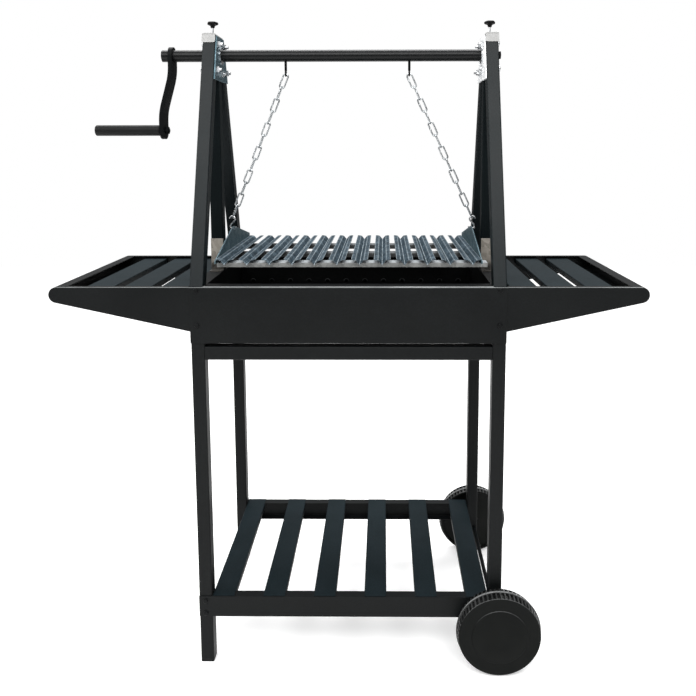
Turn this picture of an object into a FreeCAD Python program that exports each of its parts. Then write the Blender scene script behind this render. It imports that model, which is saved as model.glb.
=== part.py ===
import FreeCAD, Part
import math
import os

os.makedirs("parts", exist_ok=True)
V = FreeCAD.Vector

# ---------------------------------------------------------------- dimensions
# Millimetres.  X = 0 at mid width, Y = 0 at mid depth (+Y to the rear),
# Z = 0 on the floor.
tube = 30.0            # square tube of legs, rails and posts
tube_wall = 2.0
tube_r = 3.0           # outer corner radius of the square tube
sheet = 1.5            # folded sheet thickness

leg_x0, leg_x1 = 317.0, 347.0
leg_y0, leg_y1 = 187.5, 217.5
leg_top = 886.0
foot_h = 6.0
wheel_leg_bottom = 66.0
plug_clear = 0.1

upper_rail_z = 722.0
lower_rail_z0, lower_rail_z1 = 114.5, 163.5
lower_flange = 20.0
slat_h = 13.0
slat_end = 1.0          # slat end stops this far short of the rail's outer face
slat_w = 51.0
slat_x = (58.2, 174.6, 291.0)

tub_z0 = 762.0
rim_z = 887.5
rim_y = 220.5
rim_x = 348.5
vent_n, vent_pitch, vent_d, vent_z = 12, 51.6, 10.0, 820.0

fascia_z0 = 761.0
fascia_lip = 12.0

shelf_tip_r = 17.5
shelf_tip_x, shelf_tip_z = 638.5, 868.5
shelf_tan_x, shelf_tan_z = 642.2, 851.4
plate_low_z, plate_low_x = 786.0, 343.0
plate_lip_w = 12.0
shelf_return_x = 606.0
side_slat_x = ((360.0, 422.0), (444.5, 506.5), (529.0, 591.0))
side_slat_z0, side_slat_z1 = 865.0, 879.0

post_slope = 0.3189    # inward run per unit of rise
post_top = 1452.0
post_base_w = 31.5     # horizontal width of the leaning post
mid_post_top = 1388.0
mid_half = 15.0

shaft_z = 1407.5
shaft_r, shaft_bore_r = 14.0, 11.0
shaft_x0, shaft_x1 = -455.0, 349.5
bush_r, bush_bore_r, bush_flange_r = 17.0, 14.06, 21.0

gusset_t = 3.0
gusset_low = (67.5, 1347.0)
gusset_high = (34.6, 1450.0)
gusset_bolt_r = 4.0
gusset_bolts_yz = ((-28.0, 1431.0), (28.0, 1431.0),
                   (-46.8, 1371.0), (46.8, 1371.0), (0.0, 1364.0))

cap_t = 4.0
brake_x = 332.0
screw_r, screw_clear = 2.0, 0.05
screw_z0, knob_z0, knob_z1 = 1422.25, 1473.5, 1488.5
knob_r = 13.5

arm_t, arm_half_w, arm_bend_r = 10.0, 21.0, 150.0
arm_left_edge = ((-437.0, 1432.0), (-437.0, 1363.0), (-463.0, 1272.0), (-463.0, 1200.0))
handle_z = 1230.0
stud_r, grip_r, grip_clear = 5.0, 13.0, 0.06
grip_x0, grip_x1 = -624.0, -465.4

eye_x = (-158.0, 140.0)
eye_shank_r, eye_ring_r, eye_wire_r = 3.0, 6.0, 2.0
eye_ring_z = 1366.0
chain_wire_r, chain_bend_r, chain_gap = 2.0, 6.0, 0.15
chain_links = 12
hook_top_x, hook_top_z = 294.2, 1019.0
hook_r = 7.0
hang_x, hang_z = 294.65, 988.0

bar_n, bar_pitch = 12, 49.8
bar_half_w, bar_depth, bar_t = 18.6, 11.8, 1.5
groove_half_w, groove_depth, groove_bend_r = 8.6, 10.4, 2.0
bar_y0, bar_y1 = -196.0, 204.7
bar_rise = 0.004       # rise of the bars per unit of depth
bar_top_mid = 944.8    # top of the bars at Y = 0
bar_end_r = 7.0
cross_y = (-167.0, -33.0, 101.0)   # front faces of the three channels under the bars
cross_w, cross_h, cross_t, cross_seat = 36.0, 10.0, 1.5, 0.5
cross_front_x = (-297.0, 311.0)    # the front channel runs out past the hanger plates
hanger_t = 2.5
hanger_x0 = 293.4
hanger_hole_r = 2.6

axle_x, axle_z, axle_r, axle_half = 338.0, 96.5, 5.0, 252.0
wheel_r, wheel_edge_r = 96.5, 92.5
wheel_y0, wheel_y1 = 222.0, 262.0
wheel_ridge_y = 238.5
wheel_bore_clear = 0.06
spacer_r = 9.0

bolt_head_r, bolt_head_h, bolt_r = 5.5, 3.0, 3.0
fascia_bolt_z = (879.0, 801.0)
rail_bolt_z = (152.0, 122.0)
bolt_x = 332.0


# ------------------------------------------------------------------- helpers
def box(x0, x1, y0, y1, z0, z1):
    return Part.makeBox(x1 - x0, y1 - y0, z1 - z0, V(x0, y0, z0))


def cyl_x(r, x0, x1, y, z):
    return Part.makeCylinder(r, x1 - x0, V(x0, y, z), V(1, 0, 0))


def cyl_y(r, y0, y1, x, z):
    return Part.makeCylinder(r, y1 - y0, V(x, y0, z), V(0, 1, 0))


def cyl_z(r, z0, z1, x, y):
    return Part.makeCylinder(r, z1 - z0, V(x, y, z0), V(0, 0, 1))


def loop(points):
    return Part.Face(Part.makePolygon(list(points) + [points[0]]))


def prism_x(yz, x0, x1):
    return loop([V(x0, y, z) for y, z in yz]).extrude(V(x1 - x0, 0, 0))


def prism_y(xz, y0, y1):
    return loop([V(x, y0, z) for x, z in xz]).extrude(V(0, y1 - y0, 0))


def hex_x(across, x0, x1, y, z):
    r = across / math.sqrt(3.0)
    pts = [(y + r * math.cos(math.radians(60 * i)), z + r * math.sin(math.radians(60 * i)))
           for i in range(6)]
    return prism_x(pts, x0, x1)


def round_rect(origin, u, v, w, h, r):
    """Wire of a rectangle with rounded corners, centred on origin."""
    def p(a, b):
        return origin + u * a + v * b
    a, b = w / 2.0, h / 2.0
    k = r * (1.0 - math.sqrt(0.5))
    e = [Part.LineSegment(p(-a + r, -b), p(a - r, -b)),
         Part.Arc(p(a - r, -b), p(a - k, -b + k), p(a, -b + r)),
         Part.LineSegment(p(a, -b + r), p(a, b - r)),
         Part.Arc(p(a, b - r), p(a - k, b - k), p(a - r, b)),
         Part.LineSegment(p(a - r, b), p(-a + r, b)),
         Part.Arc(p(-a + r, b), p(-a + k, b - k), p(-a, b - r)),
         Part.LineSegment(p(-a, b - r), p(-a, -b + r)),
         Part.Arc(p(-a, -b + r), p(-a + k, -b + k), p(-a + r, -b))]
    return Part.Wire([x.toShape() for x in e])


def bar_solid(origin, u, v, w, h, r, run):
    return Part.Face(round_rect(origin, u, v, w, h, r)).extrude(run)


def square_tube(origin, u, v, run):
    outer = bar_solid(origin, u, v, tube, tube, tube_r, run)
    inner = bar_solid(origin, u, v, tube - 2 * tube_wall, tube - 2 * tube_wall,
                      tube_r - tube_wall, run)
    return outer.cut(inner)


def mirror_x(s):
    return s.mirror(V(0, 0, 0), V(1, 0, 0))


def mirror_y(s):
    return s.mirror(V(0, 0, 0), V(0, 1, 0))


def fuse(shapes):
    s = shapes[0].multiFuse(shapes[1:]) if len(shapes) > 1 else shapes[0]
    return s.removeSplitter()


def cut(shape, tools):
    for t in tools:
        shape = shape.cut(t)
    return shape


def save(name, shapes):
    solids = []
    for s in (shapes if isinstance(shapes, (list, tuple)) else [shapes]):
        for one in s.Solids:
            if not one.isValid() or one.Volume <= 0:
                raise RuntimeError("bad solid in " + name)
            solids.append(one)
    out = solids[0] if len(solids) == 1 else Part.makeCompound(solids)
    out.exportStep("parts/" + name + ".step")
    return solids


X, Y, Z = V(1, 0, 0), V(0, 1, 0), V(0, 0, 1)
leg_xc = (leg_x0 + leg_x1) / 2.0
leg_yc = (leg_y0 + leg_y1) / 2.0

# ---------------------------------------------------------------------- legs
for fx, side in ((-1, "left"), (1, "right")):
    for fy, end in ((-1, "front"), (1, "rear")):
        z0 = foot_h if fx < 0 else wheel_leg_bottom
        leg = square_tube(V(fx * leg_xc, fy * leg_yc, z0), X, Y, V(0, 0, leg_top - z0))
        holes = []
        for z in fascia_bolt_z + rail_bolt_z:
            y_out = fy * (leg_y1 + 2.0)
            y_in = fy * (leg_y1 - 8.0)
            holes.append(cyl_y(bolt_r + 0.1, min(y_out, y_in), max(y_out, y_in), fx * bolt_x, z))
        if fx > 0:
            holes.append(cyl_y(axle_r + 0.05, -300, 300, axle_x, axle_z))
        save("leg_%s_%s" % (end, side), cut(leg, holes))

plugs = []
inner = tube - 2 * tube_wall
for fx in (-1, 1):
    for fy in (-1, 1):
        c = V(fx * leg_xc, fy * leg_yc, 0)
        if fx < 0:
            za, zb, zc = 0.0, foot_h, foot_h + 20.0
        else:
            za, zb, zc = wheel_leg_bottom - 3.0, wheel_leg_bottom, wheel_leg_bottom + 14.0
        head = bar_solid(c + Z * za, X, Y, tube, tube, tube_r, V(0, 0, zb - za))
        stem = bar_solid(c + Z * zb, X, Y, inner - 2 * plug_clear, inner - 2 * plug_clear,
                         tube_r - tube_wall, V(0, 0, zc - zb))
        plugs.append(fuse([head, stem]))
save("leg_plugs", plugs)

# --------------------------------------------------------------- upper rails
zc = upper_rail_z + tube / 2.0
rail = square_tube(V(-leg_x0, -leg_yc, zc), Y, Z, V(2 * leg_x0, 0, 0))
save("upper_rail_front", rail)
save("upper_rail_rear", mirror_y(rail))
side = square_tube(V(leg_xc, -leg_y0, zc), X, Z, V(0, 2 * leg_y0, 0))
save("upper_rails_side", [mirror_x(side), side])

# --------------------------------------------------------------- lower rails
web = box(-leg_x1, leg_x1, -leg_y1 - sheet, -leg_y1, lower_rail_z0, lower_rail_z1)
fl_x = leg_x0 - 0.5
top_fl = box(-fl_x, fl_x, -leg_y1, -leg_y1 + lower_flange, lower_rail_z1 - sheet, lower_rail_z1)
bot_fl = box(-fl_x, fl_x, -leg_y1, -leg_y1 + lower_flange, lower_rail_z0, lower_rail_z0 + sheet)
channel = fuse([web, top_fl, bot_fl])
channel = cut(channel, [cyl_y(bolt_r + 0.1, -230, -210, fx * bolt_x, z)
                        for fx in (-1, 1) for z in rail_bolt_z])
save("lower_rail_front", channel)
save("lower_rail_rear", mirror_y(channel))


def folded_slat(x0, x1, y0, y1, z0, z1):
    """Sheet folded down along both long edges, with rounded folds."""
    r = 2.5
    w, h = x1 - x0, z1 - z0

    def section(a, b, top, rr):
        k = rr * (1.0 - math.sqrt(0.5))
        e = [Part.LineSegment(V(a, y0, z0), V(a, y0, top - rr)),
             Part.Arc(V(a, y0, top - rr), V(a + k, y0, top - k), V(a + rr, y0, top)),
             Part.LineSegment(V(a + rr, y0, top), V(b - rr, y0, top)),
             Part.Arc(V(b - rr, y0, top), V(b - k, y0, top - k), V(b, y0, top - rr)),
             Part.LineSegment(V(b, y0, top - rr), V(b, y0, z0)),
             Part.LineSegment(V(b, y0, z0), V(a, y0, z0))]
        return Part.Face(Part.Wire([x.toShape() for x in e])).extrude(V(0, y1 - y0, 0))
    return section(x0, x1, z1, r).cut(section(x0 + sheet, x1 - sheet, z1 - sheet, r - sheet))


slats = []
for xc in slat_x:
    z_top = lower_rail_z1 + sheet
    y_fold = leg_y1 - lower_flange - 1.0
    s = folded_slat(xc - slat_w / 2, xc + slat_w / 2, -y_fold, y_fold, z_top - slat_h, z_top)
    tab = box(xc - slat_w / 2 + 1.0, xc + slat_w / 2 - 1.0, -leg_y1 - sheet + slat_end, -y_fold,
              lower_rail_z1, z_top)
    s = fuse([s, tab, mirror_y(tab)])
    slats += [mirror_x(s), s]
save("lower_shelf_slats", slats)

# ------------------------------------------------------------------- firebox
tub = box(-leg_x0, leg_x0, -leg_y0, leg_y0, tub_z0, rim_z)
tub = tub.cut(box(-leg_x0 + sheet, leg_x0 - sheet, -leg_y0 + sheet, leg_y0 - sheet,
                  tub_z0 + sheet, rim_z + 1))
rim_x_in = leg_x0 - 0.1
rim_fr = box(-rim_x_in, rim_x_in, -rim_y, -leg_y0, leg_top, rim_z)
side_rim_y = 185.3
rim_sd = box(leg_x0, rim_x, -side_rim_y, side_rim_y, leg_top, rim_z)
tub = fuse([tub, rim_fr, mirror_y(rim_fr), rim_sd, mirror_x(rim_sd)])
vents = [cyl_y(vent_d / 2, 180, 195, (i - (vent_n - 1) / 2.0) * vent_pitch, vent_z)
         for i in range(vent_n)]
save("firebox_tub", cut(tub, vents))

fascia = fuse([box(-leg_x1, leg_x1, -rim_y, -rim_y + sheet, fascia_z0, leg_top),
               box(-310, 310, -rim_y + sheet, -rim_y + sheet + fascia_lip,
                   fascia_z0, fascia_z0 + sheet)])
fascia = cut(fascia, [cyl_y(bolt_r + 0.1, -230, -210, fx * bolt_x, z)
                      for fx in (-1, 1) for z in fascia_bolt_z])
save("fascia_front", fascia)
save("fascia_rear", mirror_y(fascia))

# -------------------------------------------------------------- side shelves
py0, py1 = -leg_y1 - sheet, -leg_y1
edges = [Part.LineSegment(V(leg_x0, py0, plate_low_z), V(plate_low_x, py0, plate_low_z)),
         Part.LineSegment(V(plate_low_x, py0, plate_low_z), V(shelf_tan_x, py0, shelf_tan_z)),
         Part.Arc(V(shelf_tan_x, py0, shelf_tan_z),
                  V(shelf_tip_x + shelf_tip_r, py0, shelf_tip_z),
                  V(shelf_tip_x, py0, shelf_tip_z + shelf_tip_r)),
         Part.LineSegment(V(shelf_tip_x, py0, leg_top), V(leg_x0, py0, leg_top)),
         Part.LineSegment(V(leg_x0, py0, leg_top), V(leg_x0, py0, plate_low_z))]
plate = Part.Face(Part.Wire([e.toShape() for e in edges])).extrude(V(0, sheet, 0))
lip = box(349, 618, py1, py1 + plate_lip_w, leg_top - sheet, leg_top)
plate = fuse([plate, lip])
plate = cut(plate, [cyl_y(bolt_r + 0.1, -230, -210, bolt_x, z) for z in fascia_bolt_z])
save("side_plate_front_right", plate)
save("side_plate_front_left", mirror_x(plate))
save("side_plate_rear_right", mirror_y(plate))
save("side_plate_rear_left", mirror_x(mirror_y(plate)))

a_tan = math.atan2(shelf_tan_z - shelf_tip_z, shelf_tan_x - shelf_tip_x)
ro, ri = shelf_tip_r, shelf_tip_r - sheet


def at(r, a):
    return V(shelf_tip_x + r * math.cos(a), -leg_y1, shelf_tip_z + r * math.sin(a))


a_mid = (a_tan + math.pi / 2) / 2
flat_x = 619.0
low_slope = (shelf_tan_z - plate_low_z) / (shelf_tan_x - plate_low_x)


def under(r):
    """End of the return fold that follows the lower edges of the side plates."""
    q = at(r, a_tan)
    return V(shelf_return_x, -leg_y1, q.z - (q.x - shelf_return_x) * low_slope)


edges = [Part.LineSegment(under(ro), at(ro, a_tan)),
         Part.Arc(at(ro, a_tan), at(ro, a_mid), at(ro, math.pi / 2)),
         Part.LineSegment(at(ro, math.pi / 2), V(flat_x, -leg_y1, shelf_tip_z + ro)),
         Part.LineSegment(V(flat_x, -leg_y1, shelf_tip_z + ro), V(flat_x, -leg_y1, shelf_tip_z + ri)),
         Part.LineSegment(V(flat_x, -leg_y1, shelf_tip_z + ri), at(ri, math.pi / 2)),
         Part.Arc(at(ri, math.pi / 2), at(ri, a_mid), at(ri, a_tan)),
         Part.LineSegment(at(ri, a_tan), under(ri)),
         Part.LineSegment(under(ri), under(ro))]
shelf_end = Part.Face(Part.Wire([e.toShape() for e in edges])).extrude(V(0, 2 * leg_y1, 0))
save("shelf_end_right", shelf_end)
save("shelf_end_left", mirror_x(shelf_end))

right = [folded_slat(a, b, -leg_y1, leg_y1, side_slat_z0, side_slat_z1) for a, b in side_slat_x]
save("side_slats_right", right)
save("side_slats_left", [mirror_x(s) for s in right])

# --------------------------------------------------------------------- posts
run = post_slope * (post_top - leg_top)
yb = -leg_y1
wall_y = tube_wall * math.sqrt(1.0 + post_slope ** 2)
outer = prism_x([(yb, leg_top), (yb + post_base_w, leg_top),
                 (yb + post_base_w + run, post_top), (yb + run, post_top)], leg_x0, leg_x1)
long_edges = [e for e in outer.Edges
              if abs(e.Vertexes[0].Point.z - e.Vertexes[1].Point.z) > 100]
outer = outer.makeFillet(tube_r, long_edges)
inner_p = prism_x([(yb + wall_y - post_slope, leg_top - 1),
                   (yb + post_base_w - wall_y - post_slope, leg_top - 1),
                   (yb + post_base_w - wall_y + run + post_slope, post_top + 1),
                   (yb + wall_y + run + post_slope, post_top + 1)],
                  leg_x0 + tube_wall, leg_x1 - tube_wall)
post_holes = [cyl_x(gusset_bolt_r + 0.1, 300, 360, y, z) for y, z in gusset_bolts_yz]
front_post = cut(outer.cut(inner_p), post_holes)
save("post_front_right", front_post)
save("post_front_left", mirror_x(front_post))
save("post_rear_right", mirror_y(front_post))
save("post_rear_left", mirror_x(mirror_y(front_post)))
mid = square_tube(V(leg_xc, 0, rim_z), X, Y, V(0, 0, mid_post_top - rim_z))
mid = cut(mid, post_holes)
save("post_mid_right", mid)
save("post_mid_left", mirror_x(mid))

# ----------------------------------------------------- head plates and bolts
gx0, gx1 = leg_x0 - gusset_t, leg_x0
gusset = prism_x([(-gusset_low[0], gusset_low[1]), (gusset_low[0], gusset_low[1]),
                  (gusset_high[0], gusset_high[1]), (-gusset_high[0], gusset_high[1])], gx0, gx1)
gusset = cut(gusset, post_holes + [cyl_x(bush_r, 300, 330, 0, shaft_z)])
save("gusset_right", gusset)
save("gusset_left", mirror_x(gusset))

bolts = []
for y, z in gusset_bolts_yz:
    head = cyl_x(8.0, leg_x1, leg_x1 + 4.0, y, z)
    head = head.makeFillet(2.5, [e for e in head.Edges
                                 if len(e.Vertexes) == 1 and abs(e.Vertexes[0].Point.x - leg_x1 - 4.0) < 1e-6])
    shank = cyl_x(gusset_bolt_r, 302.0, leg_x1, y, z)
    nut = hex_x(13.0, gx0 - 6.5, gx0, y, z)
    b = fuse([head, shank, nut])
    bolts += [mirror_x(b), b]
save("gusset_bolts", bolts)

bracket = fuse([box(leg_x0, leg_x1, -mid_half - 2, -mid_half, rim_z, 966),
                box(leg_x0, leg_x1, -40, -mid_half - 2, rim_z, rim_z + 2)])
save("mid_brackets", [mirror_x(bracket), bracket])

bush = fuse([cyl_x(bush_r, gx0 - 3.0, 326.0, 0, shaft_z),
             cyl_x(bush_flange_r, gx0 - 3.0, gx0, 0, shaft_z)])
bush = bush.cut(cyl_x(bush_bore_r, 300, 340, 0, shaft_z))
save("shaft_bushes", [mirror_x(bush), bush])

cap_x0, cap_x1 = leg_x0 + 0.2, rim_x
cap = [prism_x([(-39.2, post_top), (39.2, post_top), (39.2, post_top + cap_t),
                (-39.2, post_top + cap_t)], cap_x0, cap_x1)]
lip_drop = 18.0
for f in (-1, 1):
    y_top = f * (-yb - run)
    y_low = f * (-yb - run + post_slope * lip_drop)
    cap.append(prism_x([(y_top, post_top), (y_low, post_top - lip_drop),
                        (y_low + f * 2.1, post_top - lip_drop), (y_top + f * 2.1, post_top)],
                       cap_x0, cap_x1))
cap = fuse(cap)
cap_h = lip_drop + cap_t
cap = cap.common(bar_solid(V((cap_x0 + cap_x1) / 2, -60, post_top + cap_t - cap_h / 2), X, Z,
                           cap_x1 - cap_x0, cap_h, 4.0, V(0, 120, 0)))
cap = cap.cut(cyl_z(screw_r + screw_clear, post_top - 5, post_top + 10, brake_x, 0))
save("saddle_caps", [mirror_x(cap), cap])

# -------------------------------------------------------------------- brakes
screw = cyl_z(screw_r, screw_z0, knob_z0, brake_x, 0)
save("brake_screw_right", screw)
save("brake_screw_left", mirror_x(screw))
knob = cyl_z(knob_r - 3.0, knob_z0, knob_z1, brake_x, 0)
lobes = []
for i in range(5):
    a = math.radians(90 + 72 * i)
    lobes.append(cyl_z(5.0, knob_z0, knob_z1, brake_x + (knob_r - 5.0) * math.cos(a),
                       (knob_r - 5.0) * math.sin(a)))
knob = fuse([knob] + lobes)
save("brake_knob_right", knob)
save("brake_knob_left", mirror_x(knob))

# ---------------------------------------------------------- shaft and crank
shaft = cyl_x(shaft_r, shaft_x0, shaft_x1, 0, shaft_z)
shaft = shaft.cut(cyl_x(shaft_bore_r, shaft_x0 - 1, shaft_x1 + 1, 0, shaft_z))
shaft = cut(shaft, [cyl_z(eye_shank_r, shaft_z - 20, shaft_z, x, 0) for x in eye_x])
save("crank_shaft", shaft)

end_plug = cyl_x(shaft_bore_r, shaft_x0, shaft_x0 + 5, 0, shaft_z)
end_bolt = fuse([cyl_x(13.0, shaft_x1, shaft_x1 + 2, 0, shaft_z),
                 hex_x(17.0, shaft_x1 + 2, shaft_x1 + 9.5, 0, shaft_z),
                 cyl_x(shaft_bore_r, shaft_x1 - 12, shaft_x1, 0, shaft_z)])
save("shaft_end_fittings", [end_plug, end_bolt])

left_edge = list(arm_left_edge)
right_edge = [(x + arm_t, z) for x, z in reversed(left_edge)]
arm = prism_y(left_edge + right_edge, -arm_half_w, arm_half_w)


def bend_edge(shape, x, z):
    return [e for e in shape.Edges
            if all(abs(v.Point.x - x) < 1e-3 and abs(v.Point.z - z) < 1e-3 for v in e.Vertexes)]


for (bx, bz), r_left in zip(left_edge[1:3], (arm_bend_r, arm_bend_r + arm_t)):
    arm = arm.makeFillet(r_left, bend_edge(arm, bx, bz))
    arm = arm.makeFillet(2 * arm_bend_r + arm_t - r_left, bend_edge(arm, bx + arm_t, bz))
outline = fuse([box(-520, -380, -arm_half_w, arm_half_w, handle_z, shaft_z),
                cyl_x(arm_half_w, -520, -380, 0, shaft_z),
                cyl_x(arm_half_w, -520, -380, 0, handle_z)])
arm = arm.common(outline)
arm = cut(arm, [cyl_x(shaft_r, -520, -380, 0, shaft_z), cyl_x(stud_r, -520, -380, 0, handle_z)])
save("crank_arm", arm)

arm_face = arm_left_edge[-1][0]
stud = fuse([cyl_x(stud_r, -612.0, arm_face + arm_t + 9.0, 0, handle_z),
             hex_x(17.0, arm_face + arm_t, arm_face + arm_t + 7.0, 0, handle_z),
             cyl_x(10.0, arm_face - 2.0, arm_face, 0, handle_z)])
save("handle_fasteners", stud)
grip = cyl_x(grip_r, grip_x0, grip_x1, 0, handle_z)
grip = grip.makeFillet(3.0, [e for e in grip.Edges if len(e.Vertexes) == 1])
grip = grip.cut(cyl_x(stud_r + grip_clear, -612.6, grip_x1 + 1, 0, handle_z))
save("handle_grip", grip)

eyes = []
for x in eye_x:
    ring = Part.makeTorus(eye_ring_r, eye_wire_r, V(x, 0, eye_ring_z), X)
    shank = cyl_z(eye_shank_r, eye_ring_z + eye_ring_r, shaft_z - shaft_bore_r + 1.5, x, 0)
    eyes.append(fuse([ring, shank]))
save("chain_eyes", eyes)


# -------------------------------------------------------- chains and s-hooks
def sweep(edges, r, start, tangent):
    wire = Part.Wire(edges)
    prof = Part.Wire([Part.makeCircle(r, start, tangent)])
    s = wire.makePipeShell([prof], True, True)
    return s if s.ShapeType == "Solid" else Part.Solid(s)


def chain_link(top, u, n, s):
    """Long link: two straight runs joined by two half turns.
    top: centre of the upper bend; u: unit vector up the link; n: sideways."""
    r, w = chain_bend_r, chain_wire_r
    axis = u.cross(n)
    low = top - u * s
    half_top = Part.makeTorus(r, w, top, axis)
    half_low = Part.makeTorus(r, w, low, axis)
    big = 60.0

    def half_space(at_point, direction):
        a, b, c = direction, n, axis
        m = FreeCAD.Matrix(b.x, c.x, a.x, at_point.x,
                           b.y, c.y, a.y, at_point.y,
                           b.z, c.z, a.z, at_point.z, 0, 0, 0, 1)
        block = Part.makeBox(big, big, big, V(-big / 2, -big / 2, 0))
        if m.determinant() < 0:
            m = FreeCAD.Matrix(-b.x, c.x, a.x, at_point.x,
                               -b.y, c.y, a.y, at_point.y,
                               -b.z, c.z, a.z, at_point.z, 0, 0, 0, 1)
        return block.transformGeometry(m)
    half_top = half_top.common(half_space(top, u))
    half_low = half_low.common(half_space(low, u * -1.0))
    runs = [Part.makeCylinder(w, s, low + n * r, u), Part.makeCylinder(w, s, low - n * r, u)]
    return fuse([half_top, half_low] + runs)


hooks = []
for fx, side, xe in ((-1, "left", eye_x[0]), (1, "right", eye_x[1])):
    p0 = V(xe, 0, eye_ring_z - eye_ring_r)
    e = V(fx * hook_top_x, 0, hook_top_z)
    d = p0 - e
    length = d.Length
    u = d * (1.0 / length)
    n_xz = V(u.z, 0, -u.x)
    pitch_gap = 2 * (chain_bend_r - chain_wire_r) - chain_gap
    lead = chain_wire_r - chain_gap
    straight = (length - 2 * lead - (chain_links - 1) * pitch_gap) / chain_links
    links = []
    for i in range(chain_links):
        top = p0 - u * (lead + i * (straight + pitch_gap))
        links.append(chain_link(top, u, n_xz if i % 2 == 0 else V(0, 1, 0), straight))
    save("chain_" + side, links)

    # hook: upper bend opens to one side, lower bend to the other
    a = e - u * hook_r
    b = V(fx * hang_x, 0, hang_z + hook_r)
    ax = b - a
    dist = ax.Length
    base = math.atan2(ax.z, ax.x)
    lean = math.asin(min(1.0, 2 * hook_r / dist))

    def ang(c, t):
        return V(c.x + hook_r * math.cos(t), 0, c.z + hook_r * math.sin(t))
    f = -fx
    # tangent point angles of the crossing line
    ta = base + f * (math.pi / 2 - lean)
    tb = ta + math.pi
    pa, pb = ang(a, ta), ang(b, tb)
    sweep_a = f * math.radians(215)
    sweep_b = f * math.radians(215)
    start = ang(a, ta + sweep_a)
    finish = ang(b, tb + sweep_b)
    arc_a = Part.Arc(start, ang(a, ta + sweep_a / 2), pa).toShape()
    line = Part.LineSegment(pa, pb).toShape()
    arc_b = Part.Arc(pb, ang(b, tb + sweep_b / 2), finish).toShape()
    t0 = V(-math.sin(ta + sweep_a), 0, math.cos(ta + sweep_a))
    hooks.append(sweep([arc_a, line, arc_b], 2.0, start, t0))
save("s_hooks", hooks)

# --------------------------------------------------------------------- grate
# section of one bar: a V groove pressed between two side flanges
wall_a = math.atan2(groove_depth, groove_half_w)
flange_a = math.atan2(bar_depth - groove_depth, bar_half_w - groove_half_w)


def along(p, a, d):
    return (p[0] + d * math.cos(a), p[1] + d * math.sin(a))


bend = (groove_half_w, groove_depth)
tan_len = groove_bend_r * math.tan((wall_a - flange_a) / 2)
b1, b2 = along(bend, wall_a, -tan_len), along(bend, flange_a, tan_len)
bend_c = along(b1, wall_a - math.pi / 2, groove_bend_r)
mid_a = (wall_a + flange_a) / 2 + math.pi / 2
b_mid = along(bend_c, mid_a, groove_bend_r)
t_mid = along(bend_c, mid_a, groove_bend_r + bar_t)
t1 = along(b1, wall_a + math.pi / 2, bar_t)
t2 = along(b2, flange_a + math.pi / 2, bar_t)
tip_b = (bar_half_w, bar_depth)
tip_t = along(tip_b, flange_a + math.pi / 2, bar_t)
crease_t = (0.0, bar_t / math.cos(wall_a))
v_height = tip_t[1]


def bar_face(xc, y, z):
    def p(q, f):
        return V(xc + f * q[0], y, z + q[1])
    e = []
    for f in (1, -1):
        half = [Part.LineSegment(p((0.0, 0.0), f), p(b1, f)),
                Part.Arc(p(b1, f), p(b_mid, f), p(b2, f)),
                Part.LineSegment(p(b2, f), p(tip_b, f)),
                Part.LineSegment(p(tip_b, f), p(tip_t, f)),
                Part.LineSegment(p(tip_t, f), p(t2, f)),
                Part.Arc(p(t2, f), p(t_mid, f), p(t1, f)),
                Part.LineSegment(p(t1, f), p(crease_t, f))]
        e += half
    edges = Part.sortEdges([x.toShape() for x in e])[0]
    return Part.Face(Part.Wire(edges))


def bar_bottom(y):
    return bar_top_mid - v_height + bar_rise * y


y_len = bar_y1 - bar_y0
z_a = bar_bottom(bar_y0)
v_bars, v_full = [], []
for i in range(bar_n):
    xc = (i - (bar_n - 1) / 2.0) * bar_pitch
    raw = bar_face(xc, bar_y0, z_a).extrude(V(0, y_len, bar_rise * y_len))
    mask = bar_solid(V(xc, (bar_y0 + bar_y1) / 2.0, z_a - 20), X, Y, 2 * bar_half_w + 0.6, y_len,
                     bar_end_r, V(0, 0, 60))
    v_bars.append(raw.common(mask))
    # filled wedge used to notch the plates that carry the bars
    wedge = loop([V(xc, bar_y0 - 5, z_a - 5 * bar_rise),
                  V(xc + 2 * groove_half_w, bar_y0 - 5, z_a - 5 * bar_rise + 2 * groove_depth),
                  V(xc - 2 * groove_half_w, bar_y0 - 5, z_a - 5 * bar_rise + 2 * groove_depth)])
    v_full.append(wedge.extrude(V(0, y_len + 10, bar_rise * (y_len + 10))))
grate = []
grate += save("grate_v_bars", v_bars)

cross = []
for i, yf in enumerate(cross_y):
    zt = bar_bottom(yf) + cross_seat
    xa, xb = cross_front_x if i == 0 else (-hanger_x0, hanger_x0)
    c = box(xa, xb, yf, yf + cross_w, zt - cross_h, zt)
    c = c.cut(box(xa - 1, xb + 1, yf + cross_t, yf + cross_w - cross_t, zt - cross_h - 1, zt - cross_t))
    cross.append(cut(c, v_full))
grate += save("grate_cross_bars", cross)

plate_z = bar_bottom(0) - 8.5
front_top = bar_bottom(cross_y[0]) + cross_seat
# lower edge steps over the front channel
hanger = prism_x([(-195.0, front_top + 2.0), (-195.0, 939.5), (-9.0, 994.0), (9.0, 994.0),
                  (200.0, 953.0), (200.0, 929.0), (20.0, plate_z), (cross_y[0] + cross_w, plate_z),
                  (cross_y[0] + cross_w, front_top), (cross_y[0], front_top)], hanger_x0, hanger_x0 + hanger_t)
hanger = hanger.cut(cyl_x(hanger_hole_r, 280, 300, 0, hang_z))
grate += save("hanger_plates", [mirror_x(hanger), hanger])

mass = sum(s.Volume for s in grate)
com = V(0, 0, 0)
for s in grate:
    com = com + s.CenterOfMass * (s.Volume / mass)
print("grate centre of mass", round(com.x, 3), round(com.y, 3), round(com.z, 3), "volume", round(mass))

# ----------------------------------------------------------- axle and wheels
save("axle", cyl_y(axle_r, -axle_half, axle_half, axle_x, axle_z))
sp = cyl_y(spacer_r, leg_y1, 222.2, axle_x, axle_z)
sp = sp.cut(cyl_y(axle_r, leg_y1 - 1, wheel_y0 + 1, axle_x, axle_z))
save("axle_spacers", [mirror_y(sp), sp])

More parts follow.
